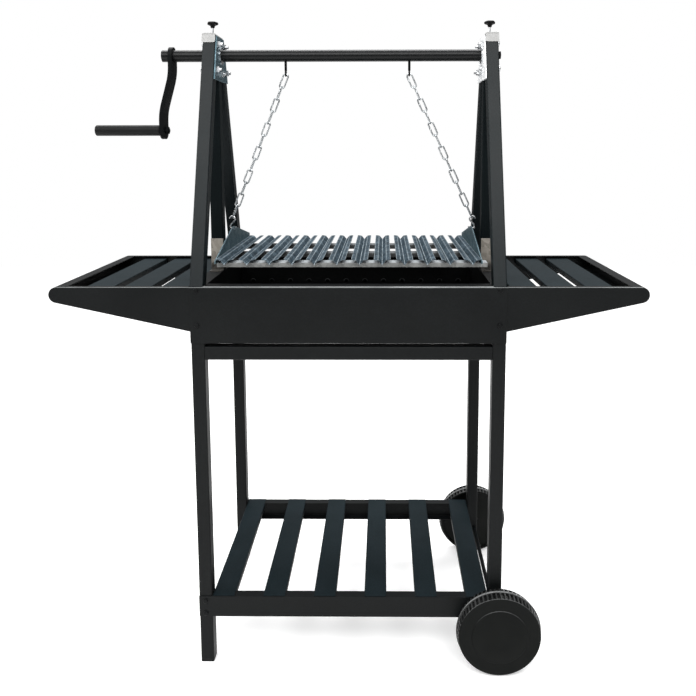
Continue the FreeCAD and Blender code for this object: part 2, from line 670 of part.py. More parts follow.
bore_end = 253.0
hub_r, hub_y0, web_y0, rim_in_r = 16.0, 222.5, 229.0, 86.0
ridge_r0 = wheel_r - 2.0
prof = [(axle_r + wheel_bore_clear, hub_y0), (hub_r, hub_y0), (hub_r, web_y0), (rim_in_r, web_y0),
        (rim_in_r, wheel_y0), (wheel_edge_r - 1.5, wheel_y0), (wheel_edge_r, wheel_y0 + 1.5),
        (ridge_r0, wheel_ridge_y - 3.0), (wheel_r, wheel_ridge_y - 1.5), (wheel_r, wheel_ridge_y + 1.5),
        (ridge_r0, wheel_ridge_y + 3.0), (wheel_edge_r, wheel_y1 - 1.5), (wheel_edge_r - 1.5, wheel_y1),
        (66.0, wheel_y1), (64.5, wheel_y1 - 2.5), (0.0, wheel_y1 - 2.5), (0.0, bore_end),
        (axle_r + wheel_bore_clear, bore_end)]
face = loop([V(axle_x + r, y, axle_z) for r, y in prof])
wheel = face.revolve(V(axle_x, 0, axle_z), V(0, 1, 0), 360)
save("wheel_rear", wheel)
save("wheel_front", mirror_y(wheel))


# ------------------------------------------------------------ small fasteners
def small_bolt(x, z, y_face, y_in):
    head = cyl_y(bolt_head_r, y_face - bolt_head_h, y_face, x, z)
    head = head.makeFillet(2.0, [e for e in head.Edges
                                 if len(e.Vertexes) == 1
                                 and abs(e.Vertexes[0].Point.y - y_face + bolt_head_h) < 1e-6])
    return fuse([head, cyl_y(bolt_r, y_face, y_in, x, z)])


for name, face_y, zs in (("fascia_bolts", -rim_y, fascia_bolt_z),
                         ("rail_bolts", -leg_y1 - sheet, rail_bolt_z)):
    group = []
    for fx in (-1, 1):
        for z in zs:
            b = small_bolt(fx * bolt_x, z, face_y, -leg_y1 + 8.0)
            group += [b, mirror_y(b)]
    save(name, group)

print("nodes written:", len([f for f in os.listdir("parts") if f.endswith(".step")]))
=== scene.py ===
import bpy
import math
import numpy as np
from mathutils import Matrix, Vector


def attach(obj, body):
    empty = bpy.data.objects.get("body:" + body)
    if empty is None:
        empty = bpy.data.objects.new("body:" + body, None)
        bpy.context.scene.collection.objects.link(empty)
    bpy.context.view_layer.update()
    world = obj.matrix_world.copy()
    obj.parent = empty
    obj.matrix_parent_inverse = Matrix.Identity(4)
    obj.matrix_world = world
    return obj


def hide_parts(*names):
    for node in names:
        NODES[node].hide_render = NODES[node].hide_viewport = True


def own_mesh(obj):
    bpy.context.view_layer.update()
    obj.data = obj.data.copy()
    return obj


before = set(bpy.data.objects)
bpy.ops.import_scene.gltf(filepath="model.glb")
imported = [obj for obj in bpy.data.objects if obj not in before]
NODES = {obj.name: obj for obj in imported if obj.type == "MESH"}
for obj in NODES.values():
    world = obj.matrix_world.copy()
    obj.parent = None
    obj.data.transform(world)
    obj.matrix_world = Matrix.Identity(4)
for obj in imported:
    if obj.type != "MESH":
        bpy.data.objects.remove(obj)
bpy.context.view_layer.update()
scene = bpy.context.scene


# ------------------------------------------------------------------ materials
class Graph:
    """Small helper for building shader node graphs."""

    def __init__(self, name):
        self.mat = bpy.data.materials.new(name)
        self.mat.use_nodes = True
        self.nt = self.mat.node_tree
        self.nt.nodes.clear()
        self.out = self.add("ShaderNodeOutputMaterial")
        self.bsdf = self.add("ShaderNodeBsdfPrincipled")
        self.link(self.bsdf.outputs[0], self.out.inputs["Surface"])
        self.coord = self.add("ShaderNodeTexCoord").outputs["Object"]

    def add(self, kind):
        return self.nt.nodes.new(kind)

    def link(self, a, b):
        self.nt.links.new(a, b)

    def put(self, socket, value):
        if hasattr(value, "is_output"):
            self.link(value, socket)
        else:
            socket.default_value = value

    def mapped(self, scale=(1, 1, 1), rot=(0, 0, 0)):
        n = self.add("ShaderNodeMapping")
        self.link(self.coord, n.inputs["Vector"])
        n.inputs["Scale"].default_value = scale
        n.inputs["Rotation"].default_value = rot
        return n.outputs[0]

    def noise(self, scale, detail=3.0, rough=0.55, vector=None, distort=0.0):
        n = self.add("ShaderNodeTexNoise")
        self.link(vector or self.coord, n.inputs["Vector"])
        n.inputs["Scale"].default_value = scale
        n.inputs["Detail"].default_value = detail
        n.inputs["Roughness"].default_value = rough
        n.inputs["Distortion"].default_value = distort
        return n.outputs["Fac"]

    def voronoi(self, scale, vector=None, out="Color", randomness=1.0):
        n = self.add("ShaderNodeTexVoronoi")
        self.link(vector or self.coord, n.inputs["Vector"])
        n.inputs["Scale"].default_value = scale
        n.inputs["Randomness"].default_value = randomness
        return n.outputs[out]

    def ramp(self, fac, stops):
        n = self.add("ShaderNodeValToRGB")
        self.link(fac, n.inputs["Fac"])
        e = n.color_ramp.elements
        while len(e) < len(stops):
            e.new(0.5)
        for i, (p, c) in enumerate(stops):
            e[i].position = p
            e[i].color = (c[0], c[1], c[2], 1) if hasattr(c, "__len__") else (c, c, c, 1)
        return n.outputs["Color"]

    def span(self, fac, a, b, lo=0.0, hi=1.0):
        n = self.add("ShaderNodeMapRange")
        self.link(fac, n.inputs["Value"])
        n.inputs["From Min"].default_value = lo
        n.inputs["From Max"].default_value = hi
        n.inputs["To Min"].default_value = a
        n.inputs["To Max"].default_value = b
        return n.outputs["Result"]

    def mix(self, fac, a, b, mode="MIX"):
        n = self.add("ShaderNodeMix")
        n.data_type = "RGBA"
        n.blend_type = mode
        self.put(n.inputs["Factor"], fac)
        for name, v in (("A", a), ("B", b)):
            s = [i for i in n.inputs if i.name == name and i.type == "RGBA"][0]
            self.put(s, v if hasattr(v, "is_output") else (v[0], v[1], v[2], 1))
        return [o for o in n.outputs if o.type == "RGBA"][0]

    def math(self, op, a, b=None, clamp=False):
        n = self.add("ShaderNodeMath")
        n.operation = op
        n.use_clamp = clamp
        self.put(n.inputs[0], a)
        if b is not None:
            self.put(n.inputs[1], b)
        return n.outputs[0]

    def edges(self, radius, gain):
        """0 on flat faces, rising to 1 along sharp edges; also the rounded normal."""
        bev = self.add("ShaderNodeBevel")
        bev.samples = 4
        bev.inputs["Radius"].default_value = radius
        geo = self.add("ShaderNodeNewGeometry")
        dot = self.add("ShaderNodeVectorMath")
        dot.operation = "DOT_PRODUCT"
        self.link(bev.outputs[0], dot.inputs[0])
        self.link(geo.outputs["Normal"], dot.inputs[1])
        mask = self.math("MULTIPLY", self.math("SUBTRACT", 1.0, dot.outputs["Value"]), gain, clamp=True)
        return mask, bev.outputs[0]

    def bump(self, height, strength, distance, normal=None):
        n = self.add("ShaderNodeBump")
        n.inputs["Strength"].default_value = strength
        n.inputs["Distance"].default_value = distance
        self.link(height, n.inputs["Height"])
        if normal is not None:
            self.link(normal, n.inputs["Normal"])
        return n.outputs["Normal"]

    def axis(self, name):
        sep = self.add("ShaderNodeSeparateXYZ")
        self.link(self.coord, sep.inputs[0])
        return sep.outputs[name]

    def step(self, value, lo, hi):
        n = self.add("ShaderNodeMapRange")
        n.interpolation_type = "SMOOTHSTEP"
        self.link(value, n.inputs["Value"])
        n.inputs["From Min"].default_value = lo
        n.inputs["From Max"].default_value = hi
        n.inputs["To Min"].default_value = 0.0
        n.inputs["To Max"].default_value = 1.0
        return n.outputs["Result"]

    def up(self):
        geo = self.add("ShaderNodeNewGeometry")
        sep = self.add("ShaderNodeSeparateXYZ")
        self.link(geo.outputs["Normal"], sep.inputs[0])
        return self.math("MAXIMUM", sep.outputs["Z"], 0.0)

    def finish(self, color, rough, metallic=0.0, normal=None, spec=0.5, coat=0.0, coat_rough=0.2):
        b = self.bsdf
        self.put(b.inputs["Base Color"], color if hasattr(color, "is_output") else (*color, 1))
        self.put(b.inputs["Roughness"], rough)
        self.put(b.inputs["Metallic"], metallic)
        b.inputs["Specular IOR Level"].default_value = spec
        b.inputs["Coat Weight"].default_value = coat
        b.inputs["Coat Roughness"].default_value = coat_rough
        if normal is not None:
            self.link(normal, b.inputs["Normal"])
        return self.mat


def powder_coat(name, dark, light, rough=(0.40, 0.54), spec=0.2, edge_gain=1.2, edge_light=(0.045, 0.048, 0.050), dust_max=0.03, edge_r=0.0012, rim_highlight=None, top=None, side=None, vent_light_rings=None):
    """Satin powder coat: fine orange peel, faint blotches, dust on top faces, edges lightened partly as rubbed paint,
    partly as a painted highlight.
    """
    g = Graph(name)
    blotch = g.noise(5.0, 4.0, 0.6)
    fine = g.noise(260.0, 2.0, 0.5)
    grain = g.noise(1300.0, 2.0, 0.6)
    base = g.ramp(blotch, [(0.3, dark), (0.72, light)])
    speck = g.ramp(fine, [(0.45, 0.86), (0.62, 1.12)])
    base = g.mix(1.0, base, speck, "MULTIPLY")
    dust = g.math("MULTIPLY", g.up(), g.span(g.noise(14.0, 5.0, 0.65), 0.0, dust_max, 0.35, 0.8))
    base = g.mix(dust, base, (0.12, 0.14, 0.17))
    # edges: partly rubbed paint, partly a painted highlight that lightens every sharp edge
    edge, bev = g.edges(edge_r, edge_gain)
    rub_and_highlight = g.math("MULTIPLY", edge, g.span(g.noise(60.0, 4.0, 0.7), 0.15, 0.75, 0.3, 0.7), clamp=True)
    base = g.mix(rub_and_highlight, base, edge_light)
    if side is not None:
        # painted shade: faces that don't face up, such as the folded-down flanges, are darkened against the top faces
        base = g.mix(g.step(g.up(), 0.3, 0.8), g.mix(1.0, base, side, "MULTIPLY"), base)
    if vent_light_rings is not None:
        # painted light: a pale half ring over each vent hole stands in for light showing through the holes
        pitch, vz, vy, r_in, r_out, grey = vent_light_rings
        u = g.math("MULTIPLY", g.math("SUBTRACT", g.math("FRACT", g.math("DIVIDE", g.axis("X"), pitch)), 0.5), pitch)
        w = g.math("SUBTRACT", g.axis("Z"), vz)
        rad = g.math("SQRT", g.math("ADD", g.math("MULTIPLY", u, u), g.math("MULTIPLY", w, w)))
        ring = g.math("MULTIPLY", g.step(rad, r_in * 0.9, r_in), g.math("SUBTRACT", 1.0, g.step(rad, r_out * 0.8, r_out)))
        ring = g.math("MULTIPLY", ring, g.step(w, -0.002, 0.003))
        ring = g.math("MULTIPLY", ring, g.step(g.axis("Y"), vy - 0.001, vy))
        base = g.mix(g.math("MULTIPLY", ring, g.span(g.noise(40.0, 3.0, 0.6), 0.4, 1.0, 0.35, 0.65)), base, (grey, grey * 1.06, grey * 1.1))
    if top is not None:
        # painted highlight: faces that face up get a lighter colour
        base = g.mix(g.step(g.up(), top[1], top[2]), base, top[0])
    if rim_highlight is not None:
        # painted highlight: a light grey line along the fold at the top of the fascia and side plates, where it catches
        # the light, broken up by noise like rubbed paint
        z0, y0, grey = rim_highlight
        high = g.step(g.axis("Z"), z0, z0 + 0.0004)
        out = g.step(g.math("ABSOLUTE", g.axis("Y")), y0, y0 + 0.0006)
        abrasion_and_highlight = g.math("MULTIPLY", g.math("MULTIPLY", high, out), g.span(g.noise(6.0, 3.0, 0.6), 0.45, 1.0, 0.35, 0.65), clamp=True)
        base = g.mix(abrasion_and_highlight, base, grey)
    r = g.span(blotch, rough[0], rough[1], 0.25, 0.75)
    n = g.bump(grain, 0.10, 0.0002, bev)
    n = g.bump(fine, 0.05, 0.0004, n)
    return g.finish(base, r, 0.0, n, spec)


def moulded_plastic(name, dark, light, rough=(0.42, 0.55), spec=0.2, edge_r=0.0010, edge_light=(0.05, 0.05, 0.049), edge_low=0.1):
    g = Graph(name)
    blotch = g.noise(9.0, 4.0, 0.6)
    grain = g.noise(1600.0, 2.0, 0.55)
    base = g.ramp(blotch, [(0.3, dark), (0.7, light)])
    # edges: partly scuffing, partly a painted highlight that lightens every sharp edge
    edge, bev = g.edges(edge_r, 1.3)
    scuff_and_highlight = g.math("MULTIPLY", edge, g.span(g.noise(90.0, 4.0, 0.7), edge_low, 0.8, 0.3, 0.7), clamp=True)
    base = g.mix(scuff_and_highlight, base, edge_light)
    r = g.span(g.noise(30.0, 3.0, 0.6), rough[0], rough[1], 0.3, 0.7)
    return g.finish(base, r, 0.0, g.bump(grain, 0.10, 0.00015, bev), spec)


def tread_plastic(name, cx, cz, levels, rough=(0.24, 0.34), spec=0.35):
    """Moulded tread: grooves stay black; the rib tips and the ridge get a painted highlight where they face up."""
    g = Graph(name)
    dx = g.math("SUBTRACT", g.axis("X"), cx)
    dz = g.math("SUBTRACT", g.axis("Z"), cz)
    rad = g.math("SQRT", g.math("ADD", g.math("MULTIPLY", dx, dx), g.math("MULTIPLY", dz, dz)))
    blotch = g.noise(40.0, 4.0, 0.6)
    base = g.ramp(blotch, [(0.3, (0.0022, 0.0025, 0.0025)), (0.7, (0.0040, 0.0044, 0.0044))])
    # painted highlight: the lighter levels show only where the surface faces up
    lit = g.math("MULTIPLY", g.step(g.up(), 0.15, 0.75), g.span(g.noise(80.0, 3.0, 0.6), 0.55, 1.0, 0.3, 0.6))
    for lo, hi, grey in levels:
        base = g.mix(g.math("MULTIPLY", g.step(rad, lo, hi), lit), base, (grey, grey * 1.03, grey * 1.03))
    grain = g.noise(1600.0, 2.0, 0.55)
    r = g.span(blotch, rough[0], rough[1], 0.3, 0.7)
    return g.finish(base, r, 0.0, g.bump(grain, 0.08, 0.00015), spec)


def mill_steel(name, dark, mid, light, metallic=0.75, rough=(0.34, 0.58), streak=(40, 3, 40), edge_col=(0.5, 0.53, 0.56), edge_r=0.0011, edge_mix=0.75, spot_scale=210.0, spot=(0.8, 1.12), stripes=None, spec=0.5):
    """Bare rolled steel: blotchy blue-grey scale, rolling streaks, cut edges brightened partly as abraded metal, partly
    as a painted highlight.
    """
    g = Graph(name)
    blotch = g.noise(38.0, 5.0, 0.62, distort=0.4)
    lines = g.noise(9.0, 4.0, 0.6, vector=g.mapped(streak))
    spots = g.noise(spot_scale, 3.0, 0.6)
    m = g.math("ADD", g.math("MULTIPLY", blotch, 0.6), g.math("MULTIPLY", lines, 0.4))
    base = g.ramp(m, [(0.34, dark), (0.5, mid), (0.66, light)])
    base = g.mix(1.0, base, g.ramp(spots, [(0.4, spot[0]), (0.62, spot[1])]), "MULTIPLY")
    # edges: partly abrasion, partly a painted highlight
    edge, bev = g.edges(edge_r, 1.5)
    abrasion_and_highlight = g.math("MULTIPLY", g.math("MULTIPLY", edge, edge_mix), g.span(g.noise(70.0, 3.0, 0.6), 0.35, 1.0, 0.3, 0.6), clamp=True)
    if stripes is not None:
        # painted highlight along the bends, the crease and the outer edges of each bar, broken up by noise
        pitch, lines_at, half = stripes
        u = g.math("MULTIPLY", g.math("SUBTRACT", g.math("FRACT", g.math("DIVIDE", g.axis("X"), pitch)), 0.5), pitch)
        u = g.math("ABSOLUTE", u)
        stripe_breakup = g.span(g.noise(55.0, 3.0, 0.6), 0.25, 1.0, 0.32, 0.6)
        for at, strength in lines_at:
            near = g.math("SUBTRACT", 1.0, g.step(g.math("ABSOLUTE", g.math("SUBTRACT", u, at)), half * 0.5, half))
            abrasion_and_highlight = g.math("MAXIMUM", abrasion_and_highlight, g.math("MULTIPLY", g.math("MULTIPLY", near, stripe_breakup), strength))
    base = g.mix(abrasion_and_highlight, base, edge_col)
    r = g.span(m, rough[1], rough[0], 0.3, 0.7)
    return g.finish(base, r, g.math("MULTIPLY", g.math("SUBTRACT", 1.0, abrasion_and_highlight), metallic), g.bump(spots, 0.12, 0.0003, bev), spec)


def galvanised(name, low, high, scale=110.0, rough=(0.22, 0.42), tint=None, metallic=0.9, top=None, dark_bottom=None, back=None):
    """Zinc spangle: flat crystal patches of differing brightness, light oxide bloom."""
    g = Graph(name)
    cells = g.voronoi(scale, out="Color")
    val = g.add("ShaderNodeRGBToBW")
    g.link(cells, val.inputs[0])
    bloom = g.noise(30.0, 4.0, 0.6)
    base = g.ramp(val.outputs[0], [(0.2, low), (0.8, high)])
    base = g.mix(g.span(bloom, 0.0, 0.35, 0.45, 0.75), base, tint or high)
    # painted highlight: sharp edges lightened towards near white
    edge, bev = g.edges(0.0008, 1.2)
    base = g.mix(g.math("MULTIPLY", edge, 0.5, clamp=True), base, (0.85, 0.86, 0.87))
    # painted light: faces that face up get a lighter colour than the front faces
    if top is not None:
        base = g.mix(g.step(g.up(), 0.4, 0.9), base, top)
    if back is not None:
        # painted shade: the members further back, under the bars, are darkened to near black; the front one stays light
        base = g.mix(g.math("MULTIPLY", g.step(g.axis("Y"), back[0], back[0] + 0.01), back[1]), base, (0.012, 0.014, 0.016))
    # darker towards the bottom: below the given height the colour is mixed towards near black
    if dark_bottom is not None:
        low_part = g.math("SUBTRACT", 1.0, g.step(g.axis("Z"), dark_bottom[0], dark_bottom[1]))
        base = g.mix(g.math("MULTIPLY", low_part, g.span(g.noise(60.0, 4.0, 0.6), 0.7, 1.0)), base, (0.006, 0.006, 0.006))
    r = g.span(val.outputs[0], rough[0], rough[1])
    return g.finish(base, r, metallic, g.bump(bloom, 0.05, 0.0003, bev), 0.5)


def zinc_plate(name, low, high, rough=(0.18, 0.34)):
    g = Graph(name)
    cloud = g.noise(120.0, 4.0, 0.6)
    fine = g.noise(900.0, 2.0, 0.5)
    base = g.ramp(cloud, [(0.3, low), (0.7, high)])
    r = g.span(cloud, rough[0], rough[1], 0.3, 0.7)
    return g.finish(base, r, 1.0, g.bump(fine, 0.06, 0.0001), 0.5)


# painted highlight line along the top fold, used by the satin black coat and the firebox coat
RIM_HIGHLIGHT = (0.8850, 0.2160, (0.26, 0.27, 0.27))
coat = powder_coat("satin_black_coat", (0.0026, 0.0032, 0.0034), (0.0046, 0.0054, 0.0056), spec=0.12, rim_highlight=RIM_HIGHLIGHT,
                   edge_light=(0.020, 0.023, 0.024))
# painted reflection: the blue tint of the slat colour stands in for a sky sheen; the flanges also get painted shade
coat_slat = powder_coat("satin_black_slats_painted_sheen_and_shade", (0.0034, 0.0078, 0.0100), (0.0068, 0.0132, 0.0162), rough=(0.50, 0.64), spec=0.09,
                        edge_light=(0.018, 0.023, 0.025), side=(0.35, 0.35, 0.35))
coat_post = powder_coat("satin_grey_posts", (0.0016, 0.0038, 0.0046), (0.0032, 0.0062, 0.0070), rough=(0.40, 0.50), spec=0.19,
                        edge_light=(0.020, 0.023, 0.024))
coat_mid = powder_coat("satin_black_posts", (0.0014, 0.0034, 0.0040), (0.0030, 0.0056, 0.0064), rough=(0.52, 0.64), spec=0.07,
                       edge_light=(0.010, 0.012, 0.013))
coat_shaft = powder_coat("black_shaft", (0.0022, 0.0026, 0.0028), (0.0038, 0.0044, 0.0046), rough=(0.30, 0.38), spec=0.18)
coat_arm = powder_coat("black_crank_arm", (0.0012, 0.0016, 0.0018), (0.0024, 0.0030, 0.0033), rough=(0.46, 0.58), spec=0.07,
                       edge_light=(0.008, 0.009, 0.010))
coat_bolt = powder_coat("black_bolt", (0.0020, 0.0024, 0.0026), (0.0038, 0.0044, 0.0046), rough=(0.34, 0.44), spec=0.10,
                        edge_light=(0.008, 0.009, 0.009))
# the pale half rings over the vent holes are painted light
coat_inner = powder_coat("firebox_black", (0.0024, 0.0027, 0.0030), (0.0052, 0.0056, 0.0060), rough=(0.55, 0.68), spec=0.12,
                         edge_light=(0.05, 0.053, 0.055), edge_r=0.0016, rim_highlight=RIM_HIGHLIGHT,
                         vent_light_rings=(0.0516, 0.820, 0.180, 0.0050, 0.0085, 0.060))
plastic = moulded_plastic("moulded_black_plastic", (0.0030, 0.0034, 0.0034), (0.0056, 0.0060, 0.0060), spec=0.14)
plastic_wheel = moulded_plastic("wheel_black_plastic", (0.0030, 0.0036, 0.0033), (0.0048, 0.0054, 0.0050), spec=0.07, edge_light=(0.015, 0.016, 0.016))
# painted highlights on the tread and on the face rings, where they face up
plastic_tread = tread_plastic("tread_black_plastic_painted_highlight", 0.338, 0.0965, [(0.0908, 0.0922, 0.030), (0.0950, 0.0958, 0.16)])
plastic_ring = tread_plastic("ring_black_plastic_painted_highlight", 0.338, 0.0965, [(0.0400, 0.0500, 0.10)], rough=(0.5, 0.6), spec=0.06)
plastic_knob = moulded_plastic("knob_black_plastic", (0.0012, 0.0012, 0.0014), (0.0026, 0.0026, 0.0028), rough=(0.34, 0.46), spec=0.10,
                               edge_light=(0.02, 0.02, 0.02))
bar_steel = mill_steel("grate_mill_steel", (0.010, 0.019, 0.027), (0.025, 0.042, 0.056), (0.085, 0.120, 0.146), metallic=0.1, rough=(0.46, 0.64), spec=0.08,
                       edge_r=0.0020, edge_mix=1.0, edge_col=(0.36, 0.41, 0.44), spot_scale=150.0, spot=(0.55, 1.35),
                       stripes=(0.0498, ((0.0, 0.9), (0.0092, 0.42), (0.0180, 0.5)), 0.0011))
# painted light on the top faces, painted shade on the members further back
cross_steel = galvanised("cross_galvanised", (0.21, 0.215, 0.212), (0.31, 0.315, 0.305), rough=(0.45, 0.60), metallic=0.15,
                         top=(0.36, 0.39, 0.41), back=(-0.10, 0.76))
plate_steel = mill_steel("plate_blue_steel", (0.048, 0.084, 0.104), (0.084, 0.138, 0.162), (0.142, 0.206, 0.232), streak=(6, 6, 30), spec=0.2)
# painted reflection: a near-white copy of the plate steel for the right gusset, standing in for the light it reflects
plate_painted_reflection = mill_steel("plate_steel_painted_reflection", (0.80, 0.82, 0.83), (0.88, 0.89, 0.90), (0.94, 0.95, 0.95), streak=(6, 6, 30), metallic=0.1,
                          spot=(0.95, 1.02))
# the brackets are darker towards their bottom
galv_warm = galvanised("galvanised_bracket", (0.24, 0.22, 0.19), (0.34, 0.31, 0.27), tint=(0.30, 0.27, 0.235), metallic=0.15,
                       dark_bottom=(0.898, 0.916))
galv_cap = galvanised("galvanised_cap", (0.27, 0.27, 0.265), (0.32, 0.32, 0.315), metallic=0.2, rough=(0.5, 0.6))
zinc = zinc_plate("bright_zinc", (0.42, 0.43, 0.44), (0.68, 0.69, 0.70))
zinc_chain = zinc_plate("chain_zinc", (0.34, 0.36, 0.37), (0.58, 0.60, 0.61), rough=(0.20, 0.34))


def paint(obj, material):
    obj.data.materials.clear()
    obj.data.materials.append(material)


def look(name):
    if name.startswith(("lower_shelf_slats", "side_slats")):
        return coat_slat
    if name.startswith("post_front") or name.startswith("post_rear"):
        return coat_post
    if name.startswith("post_mid"):
        return coat_mid
    if name.startswith(("crank_arm", "handle_fasteners", "shaft_end", "chain_eyes", "axle")):
        return coat_arm
    if name.startswith("crank"):
        return coat_shaft
    if name in ("fascia_bolts", "rail_bolts"):
        return coat_bolt
    if name == "firebox_tub":
        return coat_inner
    if name.startswith(("leg_plugs", "wheel", "handle_grip")):
        return plastic
    if name.startswith("brake_knob"):
        return plastic_knob
    if name == "grate_v_bars":
        return bar_steel
    if name == "grate_cross_bars":
        return cross_steel
    # the right gusset takes the near-white painted-reflection copy of the plate steel
    if name == "gusset_right":
        return plate_painted_reflection
    if name.startswith(("gusset_left", "hanger_plates")):
        return plate_steel
    if name == "mid_brackets":
        return galv_warm
    if name == "saddle_caps":
        return galv_cap
    if name.startswith("chain_left") or name.startswith("chain_right"):
        return zinc_chain
    if name.startswith(("gusset_bolts", "shaft_bushes", "brake_screw", "s_hooks")):
        return zinc
    return coat


for name, obj in NODES.items():
    paint(obj, look(name))


# --------------------------------------------------------------- mesh helpers
def make(name, verts, faces, material, sharp=35.0):
    me = bpy.data.meshes.new(name)
    me.from_pydata([tuple(map(float, v)) for v in verts], [], [tuple(f) for f in faces])
    me.validate()
    me.update()
    me.shade_smooth()
    me.set_sharp_from_angle(angle=math.radians(sharp))
    o = bpy.data.objects.new(name, me)
    scene.collection.objects.link(o)
    me.materials.append(material)
    return o


def grid_faces(rows, cols, wrap_rows, wrap_cols, start=0):
    f = []
    for i in range(rows if wrap_rows else rows - 1):
        for j in range(cols if wrap_cols else cols - 1):
            a = i * cols + j
            b = i * cols + (j + 1) % cols
            c = ((i + 1) % rows) * cols + (j + 1) % cols
            d = ((i + 1) % rows) * cols + j
            f.append((start + a, start + b, start + c, start + d))
    return f


# --------------------------------------------------------------------- wheels
def wheel(name, side, body):
    """Moulded wheel: smooth centre ridge with a row of ribs on either side, dished plain faces."""
    cx, cz = 0.338, 0.0965
    ribs, sub = 58, (0.0, 0.10, 0.44, 0.54)      # angles of one rib's foot, top edge, top edge, foot
    depth = 0.0042
    angles, drop = [], []
    for i in range(ribs):
        for s, d in zip(sub, (1.0, 0.0, 0.0, 1.0)):
            angles.append(2 * math.pi * (i + s) / ribs)
            drop.append(d)
    angles, drop = np.array(angles), np.array(drop)
    # radius, |y|, share of the rib depth taken off between the ribs
    prof = [(0.0051, 0.2530, 0), (0.0051, 0.2225, 0), (0.0155, 0.2225, 0), (0.0160, 0.2230, 0), (0.0165, 0.2285, 0),
            (0.0190, 0.2292, 0), (0.0820, 0.2296, 0), (0.0850, 0.2285, 0), (0.0858, 0.2240, 0), (0.0864, 0.2224, 0),
            (0.0880, 0.2221, 0), (0.0902, 0.2221, 0), (0.0914, 0.2226, 0), (0.0922, 0.2236, 0),
            (0.0924, 0.2240, 1), (0.0928, 0.2246, 1), (0.0942, 0.2346, 1), (0.0944, 0.2352, 1), (0.0944, 0.2356, 0),
            (0.0956, 0.2362, 0), (0.0963, 0.2372, 0), (0.0965, 0.2385, 0), (0.0963, 0.2398, 0), (0.0956, 0.2408, 0),
            (0.0944, 0.2414, 0), (0.0944, 0.2420, 1), (0.0942, 0.2428, 1), (0.0930, 0.2582, 1), (0.0926, 0.2592, 1),
            (0.0924, 0.2594, 0), (0.0920, 0.2602, 0), (0.0910, 0.2607, 0), (0.0890, 0.2609, 0), (0.0650, 0.2607, 0),
            (0.0640, 0.2608, 0), (0.0634, 0.2611, 0), (0.0628, 0.2616, 0), (0.0618, 0.2619, 0), (0.0300, 0.2620, 0)]
    n = len(angles)
    verts = []
    for r, y, k in prof:
        rr = r - k * depth * drop
        verts += [(cx + q * math.cos(a), side * y, cz + q * math.sin(a)) for q, a in zip(rr, angles)]
    faces = grid_faces(len(prof), n, False, True)
    pole_in, pole_out = len(verts), len(verts) + 1
    verts += [(cx, side * 0.2530, cz), (cx, side * 0.2620, cz)]
    last = (len(prof) - 1) * n
    for j in range(n):
        faces.append((pole_in, (j + 1) % n, j))
        faces.append((pole_out, last + j, last + (j + 1) % n))
    if side > 0:
        faces = [tuple(reversed(f)) for f in faces]
    o = make(name, verts, faces, plastic_wheel, 30)
    o.data.materials.append(plastic_tread)
    o.data.materials.append(plastic_ring)
    # material 1 paints highlights on the rib tips and ridge, material 2 on the face rings
    for i in range(13 * n, 29 * n):
        o.data.polygons[i].material_index = 1
    for i in list(range(29 * n, 31 * n)) + list(range(34 * n, 37 * n)):
        o.data.polygons[i].material_index = 2
    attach(o, body)
    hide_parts(body)
    return o


wheel("ribbed_wheel_front", -1, "wheel_front")
wheel("ribbed_wheel_rear", 1, "wheel_rear")


# ---------------------------------------------------------------------- knobs
def star_knob(name, x, body):
    """Flat star knob: five rounded lobes, domed top, tapered hub below."""
    n, lobes = 120, 5
    z0, z1 = 1.4735, 1.4885
    levels = [(0.30, 0.0, z0), (0.34, 0.0, z0 + 0.0004), (0.40, 0.0, z0 + 0.0040), (0.52, 0.2, z0 + 0.0055),
              (0.86, 1.0, z0 + 0.0072), (0.95, 1.0, z0 + 0.0080), (1.0, 1.0, z0 + 0.0092), (1.0, 1.0, z0 + 0.0112),
              (0.97, 1.0, z0 + 0.0124), (0.90, 1.0, z0 + 0.0133), (0.75, 0.8, z0 + 0.0141), (0.50, 0.4, z0 + 0.0147),
              (0.25, 0.1, z0 + 0.0150)]
    ang = np.linspace(0, 2 * math.pi, n, endpoint=False) + math.radians(90)
    wave = 0.5 + 0.5 * np.cos(lobes * (ang - math.radians(90)))
    shape = 1.0 - 0.26 * (1.0 - wave ** 0.55)
    verts = []
    for s, w, z in levels:
        r = 0.0135 * s * (1 - w + w * shape)
        verts += [(x + q * math.cos(a), q * math.sin(a), z) for q, a in zip(r, ang)]
    faces = grid_faces(len(levels), n, False, True)
    low, high = len(verts), len(verts) + 1
    verts += [(x, 0, z0), (x, 0, z1)]
    last = (len(levels) - 1) * n
    for j in range(n):
        faces.append((low, (j + 1) % n, j))
        faces.append((high, last + j, last + (j + 1) % n))
    o = make(name, verts, faces, plastic_knob, 60)
    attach(o, body)
    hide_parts(body)
    return o


star_knob("star_knob_left", -0.332, "brake_knob_left")
star_knob("star_knob_right", 0.332, "brake_knob_right")


